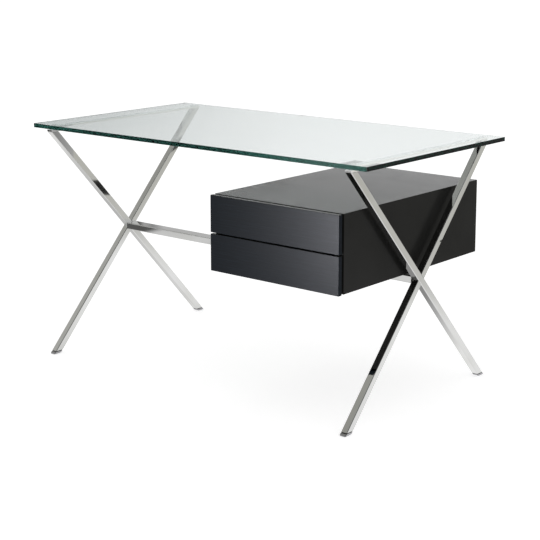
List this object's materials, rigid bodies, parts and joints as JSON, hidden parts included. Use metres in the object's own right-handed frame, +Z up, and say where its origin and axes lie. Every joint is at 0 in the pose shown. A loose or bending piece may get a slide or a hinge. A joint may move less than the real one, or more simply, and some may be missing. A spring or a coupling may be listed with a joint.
{
  "type": "glass-top desk",
  "caption": "Rectangular glass top on chrome X-shaped end frames joined by a stretcher bar, which carries a black pedestal with handle-less drawers on slides.",
  "frame": {"origin": "on the floor, under the middle of the glass top", "axes": "+X along the top towards the drawer end (the sitter's right), +Y towards the back, -Y the drawer fronts' side, +Z up"},
  "size_m": [1.22, 0.669, 0.7],
  "materials": {
    "clear_glass": "clear float glass with a green edge and a polished arris",
    "clear_plastic": "clear soft plastic",
    "polished_chrome": "mirror-polished chrome plate on steel tube",
    "glide_steel": "satin metal foot",
    "zinc_steel": "bright zinc-plated steel",
    "black_steel": "black powder coat",
    "black_lacquer": "black semi-gloss lacquer on board",
    "black_veneer": "black-stained veneer with fine level grain",
    "drawer_wood": "dark foiled board"
  },
  "bodies": {
    "desk": {"carcass_back": "black_lacquer", "carcass_bottom": "black_lacquer", "carcass_left_side": "black_lacquer", "carcass_right_side": "black_lacquer", "carcass_top": "black_lacquer", "foot_glide_left_back": "glide_steel", "foot_glide_left_front": "glide_steel", "foot_glide_right_back": "glide_steel", "foot_glide_right_front": "glide_steel", "glass_pad_left_back": "clear_plastic", "glass_pad_left_front": "clear_plastic", "glass_pad_right_back": "clear_plastic", "glass_pad_right_front": "clear_plastic", "glass_top": "clear_glass", "left_leg_long": "polished_chrome", "left_leg_lower_half": "polished_chrome", "left_leg_upper_half": "polished_chrome", "left_set_screw": "zinc_steel", "left_spigot": "polished_chrome", "left_top_rail": "polished_chrome", "lower_runner_left_cabinet": "zinc_steel", "lower_runner_right_cabinet": "zinc_steel", "mounting_plate_left": "black_steel", "mounting_plate_right": "black_steel", "plate_screw_left_back": "zinc_steel", "plate_screw_left_front": "zinc_steel", "plate_screw_right_back": "zinc_steel", "plate_screw_right_front": "zinc_steel", "right_leg_long": "polished_chrome", "right_leg_lower_half": "polished_chrome", "right_leg_upper_half": "polished_chrome", "right_set_screw": "zinc_steel", "right_spigot": "polished_chrome", "right_top_rail": "polished_chrome", "stretcher_bar": "polished_chrome", "upper_runner_left_cabinet": "zinc_steel", "upper_runner_right_cabinet": "zinc_steel"},
    "upper_drawer": {"upper_drawer_back": "drawer_wood", "upper_drawer_bottom": "drawer_wood", "upper_drawer_front": "black_veneer", "upper_drawer_inner_front": "drawer_wood", "upper_drawer_left_side": "drawer_wood", "upper_drawer_right_side": "drawer_wood", "upper_runner_left_drawer": "zinc_steel", "upper_runner_right_drawer": "zinc_steel"},
    "upper_runner_middles": {"upper_runner_left_middle": "zinc_steel", "upper_runner_right_middle": "zinc_steel"},
    "lower_drawer": {"lower_drawer_back": "drawer_wood", "lower_drawer_bottom": "drawer_wood", "lower_drawer_front": "black_veneer", "lower_drawer_inner_front": "drawer_wood", "lower_drawer_left_side": "drawer_wood", "lower_drawer_right_side": "drawer_wood", "lower_runner_left_drawer": "zinc_steel", "lower_runner_right_drawer": "zinc_steel"},
    "lower_runner_middles": {"lower_runner_left_middle": "zinc_steel", "lower_runner_right_middle": "zinc_steel"}
  },
  "joints": [
    {"name": "upper_drawer_slide", "type": "slide", "parent": "desk", "child": "upper_drawer", "axis": [0, -1, 0], "range_m": [0, 0.4]},
    {"name": "upper_runner_slide", "type": "slide", "parent": "desk", "child": "upper_runner_middles", "axis": [0, -1, 0], "range_m": [0, 0.2]},
    {"name": "lower_drawer_slide", "type": "slide", "parent": "desk", "child": "lower_drawer", "axis": [0, -1, 0], "range_m": [0, 0.4]},
    {"name": "lower_runner_slide", "type": "slide", "parent": "desk", "child": "lower_runner_middles", "axis": [0, -1, 0], "range_m": [0, 0.2]}
  ],
  "couplings": [
    {"joint": "upper_runner_slide", "follows": "upper_drawer_slide", "ratio": 0.5},
    {"joint": "lower_runner_slide", "follows": "lower_drawer_slide", "ratio": 0.5}
  ]
}
